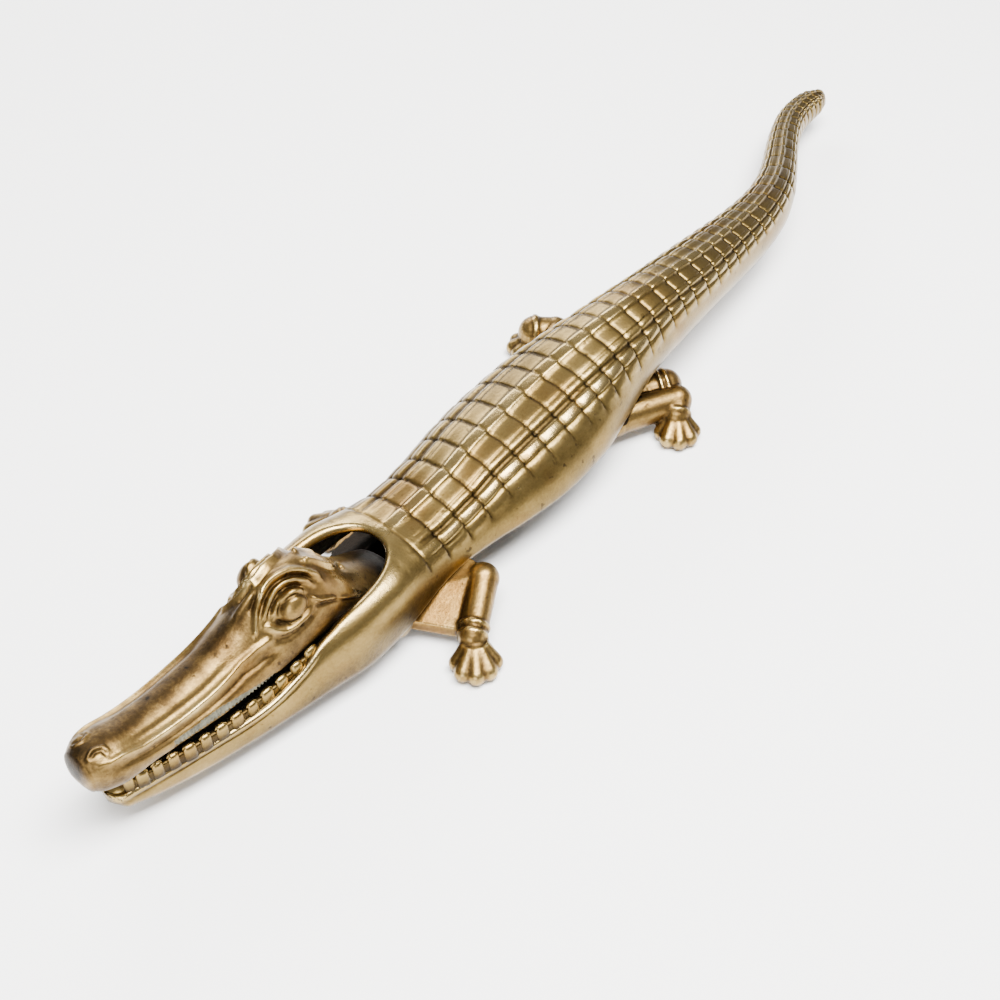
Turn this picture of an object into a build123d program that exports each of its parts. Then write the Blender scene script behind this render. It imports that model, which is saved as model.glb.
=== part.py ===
from build123d import *
import os
from math import atan2, cos, degrees, radians, sin

os.makedirs("parts", exist_ok=True)

# Alligator nutcracker: two brass levers crossed on one pin. The back lever is the hollow back with the
# lower jaw in front and the tail as its handle. The other lever is the head, the belly bar and the legs.
# X runs from the snout to the tail, Z up from the soles, Y across, with the body's middle plane at Y = 0.

# Overall sizes
overall_length = 340.0       # tip of the snout to the tip of the tail
body_half_width = 20.0       # middle of the belly
hip_height = 34.0            # soles to the ridge over the hips
tail_swing = 34.0            # how far the tail curves aside
wall = 3.0                   # back, sides and jaw
half_length = overall_length / 2

# Pivot
pivot_x = -0.535 * half_length
pivot_z = 8.0
pin_radius = 2.6
pin_clearance = 0.05         # radial, pin in the hub
hub_radius = 5.6
hub_side_gap = 1.2           # hub to the inside of the back lever
swing_gap = 0.8              # hub to the end of the throat as the lever swings

# Jaws and collar
lip_height = 13.0            # rim of the lower jaw over the soles
collar_half_width = 12.6
collar_depth = 30.0          # collar's apex forward to the corner of the mouth
jaw_gap = 0.45               # lower teeth to the upper jaw with the mouth closed
teeth_per_side = 13
tooth_width = 3.1
tooth_thickness = 2.6
tooth_height = 3.2
tooth_root = 1.5             # sunk into the rim
tooth_bevel = 0.7

# Crushing pad under the upper jaw
pad_half_width = 4.2
pad_depth = 3.2
pad_tooth_pitch = 2.8
pad_tooth_depth = 1.2

# Head
head_half_width = 12.0       # across the brows
head_top = 37.0              # soles to the crest of the skull
eye_radius = 2.6
nostril_radius = 1.7
jaw_line = lip_height + tooth_height + jaw_gap

# Legs and belly bar
foot_spread = 34.0           # middle plane out to a foot
leg_height = 9.0             # soles to the middle of the elbow
limb_radius = 4.4
palm_radius = 5.6
toe_radius = 2.3
toe_reach = 7.2              # middle of the foot to a toe's tip
joint_share = 1.05           # ball of a joint to the limb's radius there
belly_bar_half_width = 8.0
belly_bar_height = 5.0
belly_bar_end_x = 0.09 * half_length
bar_round = 1.5

overrun = 60.0               # cutters reach this far past what they cut


def across(place, side, slope):
    """Upright plane across the body at this place, facing along the line of the back."""
    along = radians(slope)
    return Plane(origin=(place, side, 0), x_dir=(-sin(along), cos(along), 0), z_dir=(cos(along), sin(along), 0))


def ring(half_width, top, middle, bottom, shoulder_share, hip_share):
    """Closed outline of four curves: widest at the middle height, fuller or leaner at its corners."""
    rise = top - middle
    fall = middle - bottom
    Bezier((half_width, middle), (half_width, middle + shoulder_share * rise),
           (shoulder_share * half_width, top), (0, top))
    Bezier((0, top), (-shoulder_share * half_width, top),
           (-half_width, middle + shoulder_share * rise), (-half_width, middle))
    Bezier((-half_width, middle), (-half_width, middle - hip_share * fall),
           (-hip_share * half_width, bottom), (0, bottom))
    Bezier((0, bottom), (hip_share * half_width, bottom),
           (half_width, middle - hip_share * fall), (half_width, middle))


# Back lever from the tip of the jaw to the tip of the tail. Each row: place along half the length, side
# swing of the tail, half-width of the body, then ridge, widest line and underside of the hip height, and
# how full the shoulders and the lower corners are.
back_shares = [
    (-0.966, 0.00, 0.13, 0.38, 0.27, 0.195, 0.60, 0.60),
    (-0.958, 0.00, 0.20, 0.42, 0.25, 0.160, 0.60, 0.60),
    (-0.938, 0.00, 0.265, 0.48, 0.24, 0.130, 0.62, 0.62),
    (-0.905, 0.00, 0.35, 0.54, 0.23, 0.105, 0.64, 0.64),
    (-0.859, 0.00, 0.445, 0.57, 0.22, 0.085, 0.64, 0.64),
    (-0.800, 0.00, 0.555, 0.56, 0.22, 0.075, 0.62, 0.62),
    (-0.729, 0.00, 0.67, 0.55, 0.23, 0.070, 0.66, 0.60),
    (-0.659, 0.00, 0.775, 0.60, 0.25, 0.070, 0.80, 0.64),
    (-0.600, 0.00, 0.85, 0.66, 0.26, 0.065, 0.86, 0.68),
    (-0.535, 0.00, 0.84, 0.69, 0.28, 0.060, 0.90, 0.66),
    (-0.482, 0.00, 0.80, 0.68, 0.29, 0.065, 0.78, 0.62),
    (-0.429, 0.00, 0.775, 0.67, 0.31, 0.070, 0.64, 0.58),
    (-0.359, 0.00, 0.825, 0.72, 0.33, 0.080, 0.57, 0.56),
    (-0.282, 0.00, 0.925, 0.78, 0.35, 0.095, 0.56, 0.56),
    (-0.206, 0.00, 0.98, 0.82, 0.38, 0.115, 0.56, 0.56),
    (-0.118, 0.00, 0.95, 0.88, 0.44, 0.150, 0.56, 0.56),
    (-0.047, 0.00, 0.83, 0.95, 0.50, 0.190, 0.56, 0.56),
    (0.012, 0.00, 0.71, 0.985, 0.55, 0.240, 0.56, 0.56),
    (0.071, 0.00, 0.62, 1.00, 0.61, 0.290, 0.56, 0.56),
    (0.130, 0.00, 0.565, 0.99, 0.63, 0.315, 0.56, 0.56),
    (0.188, 0.01, 0.53, 0.965, 0.64, 0.325, 0.56, 0.56),
    (0.265, 0.035, 0.50, 0.92, 0.625, 0.330, 0.56, 0.56),
    (0.341, 0.065, 0.47, 0.865, 0.59, 0.315, 0.56, 0.56),
    (0.406, 0.095, 0.445, 0.815, 0.56, 0.300, 0.56, 0.56),
    (0.466, 0.13, 0.42, 0.775, 0.535, 0.290, 0.56, 0.56),
    (0.531, 0.19, 0.385, 0.73, 0.51, 0.285, 0.56, 0.56),
    (0.597, 0.295, 0.335, 0.68, 0.485, 0.290, 0.56, 0.56),
    (0.669, 0.455, 0.285, 0.62, 0.455, 0.290, 0.56, 0.56),
    (0.739, 0.64, 0.258, 0.575, 0.42, 0.270, 0.56, 0.56),
    (0.803, 0.80, 0.245, 0.53, 0.385, 0.240, 0.56, 0.56),
    (0.865, 0.92, 0.24, 0.49, 0.35, 0.210, 0.56, 0.56),
    (0.910, 0.975, 0.238, 0.465, 0.325, 0.185, 0.56, 0.56),
    (0.946, 0.995, 0.225, 0.445, 0.31, 0.180, 0.56, 0.56),
    (0.973, 0.99, 0.195, 0.42, 0.305, 0.190, 0.56, 0.56),
    (0.991, 0.97, 0.135, 0.385, 0.305, 0.225, 0.56, 0.56),
    (0.998, 0.955, 0.05, 0.335, 0.305, 0.275, 0.56, 0.56),
]
cavity_first = 3             # row in the jaw where the hollow starts
cavity_last = 20             # row at the root of the tail where it ends
pivot_row = 9


def back_slope(row):
    """Direction of the back's line at a row, from its neighbours."""
    before = back_shares[max(row - 1, 0)]
    after = back_shares[min(row + 1, len(back_shares) - 1)]
    return degrees(atan2((after[1] - before[1]) * tail_swing, (after[0] - before[0]) * half_length))


def back_section(row, inset):
    place, swing, half, ridge, widest, under, shoulder, lower = back_shares[row]
    with BuildSketch(across(place * half_length, swing * tail_swing, back_slope(row))) as section:
        with BuildLine():
            ring(half * body_half_width - inset, ridge * hip_height - inset, widest * hip_height,
                 under * hip_height + inset, shoulder, lower)
        make_face()
    return section.sketch


back_outside = [back_section(row, 0) for row in range(len(back_shares))]
back_inside = [back_section(row, wall) for row in range(cavity_first, cavity_last + 1)]
hub_half_width = back_shares[pivot_row][2] * body_half_width - 2 * wall - hub_side_gap

# Side view of the mouth line: the rim of the lower jaw, rising along the collar's arm
mouth_corner_x = pivot_x - 0.85 * collar_depth
collar_apex_x = pivot_x + 0.15 * collar_depth
with BuildSketch(Plane.XZ) as mouth_side:
    with BuildLine():
        Line((-half_length - overrun, lip_height), (mouth_corner_x, lip_height))
        Spline((mouth_corner_x, lip_height), (mouth_corner_x + 0.25 * collar_depth, lip_height * 1.36),
               (mouth_corner_x + 0.60 * collar_depth, lip_height * 1.62), (collar_apex_x, lip_height * 2.1))
        Polyline((collar_apex_x, lip_height * 2.1), (collar_apex_x, hip_height + overrun),
                 (-half_length - overrun, hip_height + overrun), (-half_length - overrun, lip_height))
    make_face()

# Plan of the collar: a U open to the front
with BuildSketch(Plane.XY.offset(lip_height)) as collar_plan:
    with BuildLine():
        Spline((mouth_corner_x, -collar_half_width), (collar_apex_x - 0.48 * collar_depth, -collar_half_width),
               (collar_apex_x - 0.12 * collar_depth, -0.72 * collar_half_width), (collar_apex_x, 0),
               (collar_apex_x - 0.12 * collar_depth, 0.72 * collar_half_width),
               (collar_apex_x - 0.48 * collar_depth, collar_half_width), (mouth_corner_x, collar_half_width),
               tangents=((1, 0), (-1, 0)))
        Line((mouth_corner_x, collar_half_width), (mouth_corner_x, -collar_half_width))
    make_face()

# Side view of the open belly: the shell's lower edge, arched over the legs
belly_front_x = pivot_x - 0.50 * hub_radius
belly_back_x = belly_bar_end_x + 2 * wall
with BuildSketch(Plane.XZ) as belly_side:
    with BuildLine():
        Spline((belly_front_x, 0.20 * hip_height), (-0.46 * half_length, 0.30 * hip_height),
               (-0.38 * half_length, 0.335 * hip_height), (-0.20 * half_length, 0.345 * hip_height),
               (-0.04 * half_length, 0.40 * hip_height), (belly_bar_end_x, 0.44 * hip_height))
        Polyline((belly_bar_end_x, 0.44 * hip_height), (belly_back_x, 0.28 * hip_height), (belly_back_x, -overrun),
                 (belly_front_x, -overrun), (belly_front_x, 0.20 * hip_height))
    make_face()

with BuildPart() as outer_form:
    loft(sections=back_outside)

with BuildPart() as hollow_form:
    loft(sections=back_inside)

# Teeth along the rim of the lower jaw, square blocks bevelled on top
with BuildLine() as tooth_row:
    Spline((-0.942 * half_length, 0.130 * body_half_width), (-0.920 * half_length, 0.215 * body_half_width),
           (-0.885 * half_length, 0.305 * body_half_width), (-0.835 * half_length, 0.390 * body_half_width),
           (-0.770 * half_length, 0.460 * body_half_width), (-0.720 * half_length, 0.485 * body_half_width),
           (-0.685 * half_length, 0.495 * body_half_width))

with BuildPart() as tooth:
    with BuildSketch():
        Rectangle(tooth_width, tooth_thickness)
    extrude(amount=tooth_root + tooth_height, taper=4)
    chamfer(tooth.faces().sort_by(Axis.Z)[-1].edges(), length=tooth_bevel)

with BuildPart() as near_teeth:
    for count in range(teeth_per_side):
        place = tooth_row.line @ (count / (teeth_per_side - 1))
        heading = tooth_row.line % (count / (teeth_per_side - 1))
        with Locations(Location((place.X, -place.Y, lip_height - tooth_root),
                                (0, 0, -degrees(atan2(heading.Y, heading.X))))):
            add(tooth.part)

with BuildPart() as back_lever:
    add(outer_form.part)
    add(hollow_form.part, mode=Mode.SUBTRACT)
    extrude(mouth_side.sketch, amount=overrun, both=True, mode=Mode.SUBTRACT)
    extrude(collar_plan.sketch, amount=overrun, mode=Mode.SUBTRACT)
    extrude(belly_side.sketch, amount=overrun, both=True, mode=Mode.SUBTRACT)
    with Locations(Location((pivot_x, 0, pivot_z), (90, 0, 0))):
        Cylinder(radius=hub_radius + swing_gap, height=2 * (hub_half_width + swing_gap), mode=Mode.SUBTRACT)
        Cylinder(radius=pin_radius, height=2 * overrun, mode=Mode.SUBTRACT)
    add(near_teeth.part)
    mirror(near_teeth.part, about=Plane.XZ)

# Head from the tip of the snout to the neck. Each row: place along half the length, half-width of the
# head, top and widest line of the head's height, underside above the jaw line, and the shoulders' fullness.
head_shares = [
    (-1.000, 0.14, 0.700, 0.640, 0.085, 0.56),
    (-0.994, 0.34, 0.735, 0.620, 0.040, 0.56),
    (-0.978, 0.51, 0.755, 0.600, 0.010, 0.56),
    (-0.952, 0.59, 0.745, 0.565, 0.000, 0.56),
    (-0.920, 0.59, 0.710, 0.540, 0.000, 0.54),
    (-0.870, 0.65, 0.695, 0.510, 0.000, 0.46),
    (-0.810, 0.73, 0.710, 0.500, 0.000, 0.43),
    (-0.755, 0.79, 0.780, 0.510, 0.000, 0.42),
    (-0.712, 0.81, 0.900, 0.530, 0.000, 0.42),
    (-0.670, 0.81, 1.000, 0.560, 0.000, 0.44),
    (-0.630, 0.79, 0.960, 0.570, -0.010, 0.48),
    (-0.594, 0.75, 0.800, 0.540, -0.060, 0.54),
    (-0.562, 0.73, 0.630, 0.460, -0.160, 0.56),
    (-0.535, 0.72, 0.530, 0.370, -0.260, 0.56),
    (-0.505, 0.70, 0.450, 0.290, -0.300, 0.56),
    (-0.475, 0.66, 0.340, 0.220, -0.310, 0.56),
]


def head_section(row):
    place, half, top, widest, under, fullness = head_shares[row]
    with BuildSketch(across(place * half_length, 0, 0)) as section:
        with BuildLine():
            ring(half * head_half_width, top * head_top, widest * head_top, jaw_line + under * head_top,
                 fullness, 0.80)
        make_face()
    return section.sketch


head_sections = [head_section(row) for row in range(len(head_shares))]


def limb(stations):
    """Tapering limb through round sections, with a ball at each joint."""
    with BuildPart() as form:
        for start, end in zip(stations[:-1], stations[1:]):
            along = Vector(*end[:3]) - Vector(*start[:3])
            with BuildSketch(Plane(origin=start[:3], z_dir=along)):
                Circle(start[3])
            with BuildSketch(Plane(origin=end[:3], z_dir=along)):
                Circle(end[3])
            loft()
        for station in stations:
            with Locations(station[:3]):
                Sphere(joint_share * station[3])
    return form.part


# Fan of a foot: turn of each toe from the foot's heading, and its reach
toe_turns = (-66, -30, 0, 30, 66)
toe_reach_shares = (0.66, 0.78, 0.80, 0.76, 0.66)


def foot(place, side, heading):
    """Domed foot with five fanned toes."""
    with BuildPart() as form:
        with Locations((place, side, 0.3 * palm_radius)):
            Sphere(palm_radius)
        for turn, reach in zip(toe_turns, toe_reach_shares):
            along = radians(heading + turn)
            add(limb([(place, side, 1.7 * toe_radius, toe_radius),
                      (place + reach * toe_reach * cos(along), side + reach * toe_reach * sin(along),
                       0.95 * toe_radius, toe_radius)]))
    return form.part


def leg_points(rows):
    """Joints of a leg from shares of the length, the spread, the leg's height and the limb's radius."""
    return [(place * half_length, side * foot_spread, height * leg_height, thick * limb_radius)
            for place, side, height, thick in rows]


# Joints of the four legs: place, side, height and thickness
near_front_shares = [(-0.475, -0.25, 0.50, 0.74), (-0.432, -0.440, 0.62, 0.80), (-0.405, -0.596, 1.05, 0.91),
                     (-0.480, -0.82, 0.64, 0.86)]
far_front_shares = [(-0.475, 0.25, 0.50, 0.74), (-0.402, 0.475, 0.66, 0.80), (-0.438, 0.62, 0.60, 0.78)]
near_rear_shares = [(-0.010, -0.25, 0.74, 1.06), (0.086, -0.50, 0.80, 0.92), (0.066, -0.57, 0.60, 0.82)]
far_rear_shares = [(-0.010, 0.25, 0.80, 1.00), (0.100, 0.77, 0.80, 0.88), (0.077, 0.900, 0.76, 1.02)]
near_rump_shares = [(0.040, -0.12, 0.75, 0.80), (0.095, -0.32, 0.85, 0.84)]
far_rump_shares = [(0.040, 0.12, 0.75, 0.80), (0.095, 0.32, 0.85, 0.84)]
feet_shares = [(-0.493, -0.900, 226), (-0.446, 0.675, 136), (0.060, -0.605, 226), (0.071, 0.897, 136)]

# Web of the upper arm, a flat triangle between the bar, the elbow and the wrist
web_shares = [(-0.516, 0.20), (-0.516, 0.40), (-0.480, 0.72), (-0.400, 0.60), (-0.385, 0.20)]
web_under = 0.40 * leg_height
web_top = 0.70 * leg_height

with BuildPart() as near_web:
    with BuildSketch(Plane.XY.offset(web_under)):
        with BuildLine():
            Polyline([(place * half_length, -side * foot_spread) for place, side in web_shares], close=True)
        make_face()
    extrude(amount=web_top - web_under)

# Belly bar from the hub back to the hips, round at its end
bar_under = 0.48 * leg_height
with BuildPart() as belly_bar:
    with BuildSketch(Plane.XY.offset(bar_under)):
        with BuildLine():
            Polyline((belly_bar_end_x - belly_bar_half_width, belly_bar_half_width),
                     (pivot_x, belly_bar_half_width), (pivot_x, -belly_bar_half_width),
                     (belly_bar_end_x - belly_bar_half_width, -belly_bar_half_width))
            ThreePointArc((belly_bar_end_x - belly_bar_half_width, -belly_bar_half_width), (belly_bar_end_x, 0),
                          (belly_bar_end_x - belly_bar_half_width, belly_bar_half_width))
        make_face()
    extrude(amount=belly_bar_height)
    fillet(belly_bar.faces().sort_by(Axis.Z)[-1].edges(), radius=bar_round)

# Crushing pad under the upper jaw, notched across
pad_front_x = -0.880 * half_length
pad_back_x = -0.700 * half_length
pad_notches = int((pad_back_x - pad_front_x) / pad_tooth_pitch)
with BuildPart() as pad:
    with BuildSketch(Plane.XZ):
        with BuildLine():
            edge = [(pad_front_x, jaw_line + pad_depth), (pad_front_x, jaw_line - 0.4 * pad_depth)]
            for count in range(pad_notches):
                edge.append((pad_front_x + (count + 0.5) * pad_tooth_pitch, jaw_line - pad_depth))
                edge.append((pad_front_x + (count + 1) * pad_tooth_pitch, jaw_line - pad_depth + pad_tooth_depth))
            edge.append((pad_back_x, jaw_line + pad_depth))
            Polyline(edge, close=True)
        make_face()
    extrude(amount=pad_half_width, both=True)

with BuildPart() as head_leg_lever:
    loft(sections=head_sections)
    with Locations(Location((pivot_x, 0, pivot_z), (90, 0, 0))):
        Cylinder(radius=hub_radius, height=2 * hub_half_width)
    add(belly_bar.part)
    add(pad.part)
    for side in (-1, 1):
        with Locations((-0.672 * half_length, side * 0.50 * head_half_width, 0.855 * head_top)):
            Sphere(eye_radius)
        with Locations((-0.972 * half_length, side * 0.30 * head_half_width, 0.725 * head_top)):
            Sphere(nostril_radius)
    add(near_web.part)
    mirror(near_web.part, about=Plane.XZ)
    for rows in (near_front_shares, far_front_shares, near_rear_shares, far_rear_shares, near_rump_shares,
                 far_rump_shares):
        add(limb(leg_points(rows)))
    for place, side, heading in feet_shares:
        add(foot(place * half_length, side * foot_spread, heading))
    with Locations((0, 0, -overrun / 2)):
        Box(2 * overall_length, 2 * overrun, overrun, mode=Mode.SUBTRACT)
    with Locations(Location((pivot_x, 0, pivot_z), (90, 0, 0))):
        Cylinder(radius=pin_radius + pin_clearance, height=2 * overrun, mode=Mode.SUBTRACT)

# Pin, its ends ground to the flanks
with BuildPart() as pivot_pin:
    add(outer_form.part)
    with Locations(Location((pivot_x, 0, pivot_z), (90, 0, 0))):
        Cylinder(radius=pin_radius, height=2 * overrun, mode=Mode.INTERSECT)

back_lever.part.label = "back_lever"
export_step(back_lever.part, "parts/back_lever.step")
head_leg_lever.part.label = "head_leg_lever"
export_step(head_leg_lever.part, "parts/head_leg_lever.step")
pivot_pin.part.label = "pivot_pin"
export_step(pivot_pin.part, "parts/pivot_pin.step")
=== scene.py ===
import bpy
import bmesh
from bisect import bisect_right
from math import atan2, cos, exp, hypot, pi, radians, sin, sqrt
from mathutils import Matrix, Vector, noise


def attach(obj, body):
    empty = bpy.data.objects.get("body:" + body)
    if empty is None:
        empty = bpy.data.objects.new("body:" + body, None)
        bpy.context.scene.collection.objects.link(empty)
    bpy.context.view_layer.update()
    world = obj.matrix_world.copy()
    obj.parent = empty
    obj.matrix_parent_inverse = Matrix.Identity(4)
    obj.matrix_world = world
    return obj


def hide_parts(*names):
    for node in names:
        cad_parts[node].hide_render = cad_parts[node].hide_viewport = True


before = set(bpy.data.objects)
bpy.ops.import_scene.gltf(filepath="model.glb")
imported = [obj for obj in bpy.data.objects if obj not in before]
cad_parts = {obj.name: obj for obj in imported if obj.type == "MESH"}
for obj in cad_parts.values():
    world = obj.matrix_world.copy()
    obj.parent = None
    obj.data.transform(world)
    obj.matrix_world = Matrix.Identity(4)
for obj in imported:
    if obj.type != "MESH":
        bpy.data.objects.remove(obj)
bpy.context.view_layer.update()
mm = 0.001
print("frame loaded")


# small helpers; all shapes are worked out in millimetres

def spanAt(places, x):
    # number of the stretch between two places that x falls in
    return min(max(bisect_right(places, x) - 1, 0), len(places) - 2)


def easedCurve(rows):
    # smooth curve through the stations that never swings past them
    xs, ys = zip(*rows)
    gaps = [b - a for a, b in zip(xs[:-1], xs[1:])]
    rises = [(b - a) / g for a, b, g in zip(ys[:-1], ys[1:], gaps)]
    leans = [rises[0]]
    for before, after, gapA, gapB in zip(rises[:-1], rises[1:], gaps[:-1], gaps[1:]):
        if before * after > 0:
            wA, wB = 2 * gapB + gapA, gapB + 2 * gapA
            leans.append((wA + wB) / (wA / before + wB / after))
        else:
            leans.append(0.0)
    leans.append(rises[-1])

    def at(x):
        x = min(max(x, xs[0]), xs[-1])
        low = spanAt(xs, x)
        g = gaps[low]
        t = (x - xs[low]) / g
        return (ys[low] * (1 + 2 * t) * (1 - t) ** 2 + leans[low] * g * t * (1 - t) ** 2
                + ys[low + 1] * t * t * (3 - 2 * t) + leans[low + 1] * g * t * t * (t - 1))
    return at


def curvesOf(stations):
    # one curve along the body for each column of the stations
    return [easedCurve([(row[0], row[k]) for row in stations]) for k in range(1, len(stations[0]))]


def ease(low, high, x):
    t = min(max((x - low) / (high - low), 0.0), 1.0)
    return t * t * (3 - 2 * t)


def bell(x, middle, width):
    return exp(-((x - middle) / width) ** 2)


def mix(a, b, share):
    return a + (b - a) * share


def cubic(t, a, b, c, d):
    u = 1 - t
    return u ** 3 * a + 3 * u * u * t * b + 3 * u * t * t * c + t ** 3 * d


def ringPoint(half, top, middle, bottom, shoulder, hip, v):
    # v runs from the ridge, 0, over the widest line, 0.5, to the underside, 1
    if v <= 0.5:
        return (cubic(2 * v, 0, shoulder * half, half, half),
                cubic(2 * v, top, top, middle + shoulder * (top - middle), middle))
    return (cubic(2 * v - 1, half, half, hip * half, 0),
            cubic(2 * v - 1, middle, middle - hip * (middle - bottom), bottom, bottom))


ringSteps = 80      # even steps in which the length round a half section is measured


def ringArcs(ring):
    # lengths from the ridge to each step of a half section
    points = [ringPoint(*ring, step / ringSteps) for step in range(ringSteps + 1)]
    arcs = [0.0]
    for a, b in zip(points[:-1], points[1:]):
        arcs.append(arcs[-1] + hypot(b[0] - a[0], b[1] - a[1]))
    return arcs


def shareOf(arcs, s):
    # share of the half section that lies at the arc s from the ridge
    s = min(max(s, 0.0), arcs[-1])
    low = spanAt(arcs, s)
    return (low + (s - arcs[low]) / max(arcs[low + 1] - arcs[low], 1e-9)) / ringSteps


def gridIndex(v, across, along):
    return round((v.co.x + 1) / 2 * across), round((v.co.y + 1) / 2 * along)


def newPiece(name, bm, body, materials, smooth=True):
    mesh = bpy.data.meshes.new(name)
    bmesh.ops.scale(bm, vec=(mm, mm, mm), verts=bm.verts)
    for face in bm.faces:
        face.smooth = smooth
    bm.to_mesh(mesh)
    bm.free()
    piece = bpy.data.objects.new(name, mesh)
    bpy.context.collection.objects.link(piece)
    for material in materials:
        mesh.materials.append(material)
    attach(piece, body)
    print(name, len(mesh.polygons), "faces")
    return piece


def segmentGap(px, py, a, b):
    # distance from a point to a straight run, and the share along the run where it is nearest
    dx, dy = b[0] - a[0], b[1] - a[1]
    t = min(max(((px - a[0]) * dx + (py - a[1]) * dy) / (dx * dx + dy * dy + 1e-9), 0.0), 1.0)
    return hypot(px - a[0] - t * dx, py - a[1] - t * dy), t


def bevelEdges(bm, edges, offset, segments):
    return bmesh.ops.bevel(bm, geom=edges, offset=offset, offset_type="OFFSET", affect="EDGES",
                           segments=segments, profile=0.5, material=-1)


def openEdges(bm):
    return sum(1 for e in bm.edges if not e.is_manifold)


# back, jaw and tail: place, side swing, half-width, ridge, widest line and underside, all in mm,
# then how full the shoulders and hips of the section are
backStations = [
    (-164.2, 0.0, 2.6, 12.9, 9.2, 6.6, 0.60, 0.60), (-162.9, 0.0, 4.0, 14.3, 8.5, 5.4, 0.60, 0.60),
    (-159.5, 0.0, 5.3, 16.3, 8.2, 4.4, 0.62, 0.62), (-153.8, 0.0, 7.0, 18.4, 7.8, 3.6, 0.64, 0.64),
    (-146.0, 0.0, 8.9, 19.4, 7.5, 2.9, 0.64, 0.64), (-136.0, 0.0, 11.1, 19.0, 7.5, 2.55, 0.62, 0.62),
    (-123.9, 0.0, 13.4, 18.9, 7.8, 2.4, 0.66, 0.60), (-112.0, 0.0, 15.5, 21.6, 8.5, 2.4, 0.80, 0.64),
    (-102.0, 0.0, 17.0, 23.2, 8.8, 2.2, 0.84, 0.68), (-90.95, 0.0, 16.8, 23.6, 9.5, 2.05, 0.88, 0.66),
    (-81.9, 0.0, 16.0, 23.1, 9.9, 2.2, 0.78, 0.62), (-72.9, 0.0, 15.5, 22.8, 10.5, 2.4, 0.64, 0.58),
    (-61.0, 0.0, 16.5, 24.5, 11.2, 2.7, 0.57, 0.56), (-47.9, 0.0, 18.5, 26.5, 11.9, 3.2, 0.56, 0.56),
    (-35.0, 0.0, 19.6, 27.9, 12.9, 3.9, 0.56, 0.56), (-20.1, 0.0, 19.0, 29.9, 15.0, 5.1, 0.56, 0.56),
    (-8.0, 0.0, 16.6, 32.3, 17.0, 6.5, 0.56, 0.56), (2.0, 0.0, 14.2, 33.5, 18.7, 8.2, 0.56, 0.56),
    (12.1, 0.0, 12.4, 34.0, 20.7, 9.9, 0.56, 0.56), (22.1, 0.0, 11.3, 33.7, 21.4, 10.7, 0.56, 0.56),
    (32.0, 0.34, 10.6, 32.8, 21.8, 11.05, 0.56, 0.56), (45.0, 1.2, 10.0, 31.3, 21.2, 11.2, 0.56, 0.56),
    (58.0, 2.2, 9.4, 29.4, 20.1, 10.7, 0.56, 0.56), (69.0, 3.2, 8.9, 27.7, 19.0, 10.2, 0.56, 0.56),
    (79.2, 4.4, 8.4, 26.3, 18.2, 9.9, 0.56, 0.56), (90.3, 6.5, 7.7, 24.8, 17.3, 9.7, 0.56, 0.56),
    (101.5, 10.0, 6.7, 23.1, 16.5, 9.9, 0.56, 0.56), (113.7, 15.5, 5.7, 21.1, 15.5, 9.9, 0.56, 0.56),
    (125.6, 21.8, 5.15, 19.5, 14.3, 9.2, 0.56, 0.56), (136.5, 27.2, 4.9, 18.0, 13.1, 8.2, 0.56, 0.56),
    (147.0, 31.3, 4.8, 16.7, 11.9, 7.1, 0.56, 0.56), (154.7, 33.0, 4.75, 15.8, 11.0, 6.3, 0.56, 0.56),
    (160.8, 33.6, 4.5, 15.1, 10.5, 6.1, 0.56, 0.56), (165.4, 33.55, 3.9, 14.3, 10.4, 6.5, 0.56, 0.56),
    (168.5, 33.0, 2.7, 13.1, 10.4, 7.65, 0.56, 0.56), (169.7, 32.5, 1.0, 11.4, 10.4, 9.35, 0.56, 0.56),
]
shell = {
    "wall": 3.0, "collarWall": 2.3,
    "stem": (-161.5, -165.1), "stemHeight": 8.0,         # the jaw rounds off to an edge between these places
    "mouthCorner": -118.0, "collarBend": -101.0, "collarApex": -83.6, "collarHalf": 11.1, "collarPower": 2.25,
    "throatFrom": -103.0, "throatEnd": -95.4, "collarFoot": -82.6, "footLean": 1.85, "bodyFrom": -77.5,
    "bellyEnd": 20.2, "cavityRound": 20.6, "cavityEnd": 24.0, "endPole": 169.85,
    "edgeReach": 2.2,                                    # how far from an edge its rounding is felt
}
rimHeight = easedCurve([(-166, 11.6), (-162, 11.9), (-156, 12.5), (-148, 12.9), (-134, 13.2), (-129, 13.7),
                        (-124, 14.8), (-119.5, 16.3), (-116.5, 17.8), (-113.5, 19.3), (-110, 20.3),
                        (-105, 20.9)])
# places of the grooves between the rows of scales, and the depth of the faint ones
rowLines = [-86.8, -80.4, -73.4, -65.9, -58.9, -51.6, -43.9, -36.2, -28.6, -21.8, -15.9, -9.9, -3.9, 2.1, 8.4,
            14.1,
            20.4, 26.1, 31.8, 38.2, 44.5, 50.5, 56.4, 62.0, 68.2, 74.3, 80.4, 87.5, 94.5, 101.4, 108.4, 115.0,
            121.2,
            127.0, 132.4, 137.4, 142.0, 146.4, 150.6, 154.6, 158.4, 162.0, 165.2]
faintRows = {-86.8: 0.3, -80.4: 0.6}
scaleRow = {"depth": 0.32, "width": 0.36, "pillow": 0.16}
# bands of scales on each side of the ridge, in mm round the back where it is widest: a border,
# or where the band fades in and where it fades out
band = {
    "ridge": 1.8, "ridgeFoot": 2.3, "panel": 7.5, "squares": 14.5, "outerEdge": 17.0, "panelRise": (2.4, 7.2),
    "stripIn": (7.5, 7.9), "stripOut": (9.5, 10.0), "troughIn": (9.5, 10.1), "troughOut": (11.1, 11.7),
    "squaresIn": (11.1, 11.8), "squaresOut": (14.1, 14.7), "outerIn": (14.5, 15.1),
    "reach": (17.2, 19.2), "tailReach": (60, 75),
}
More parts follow.
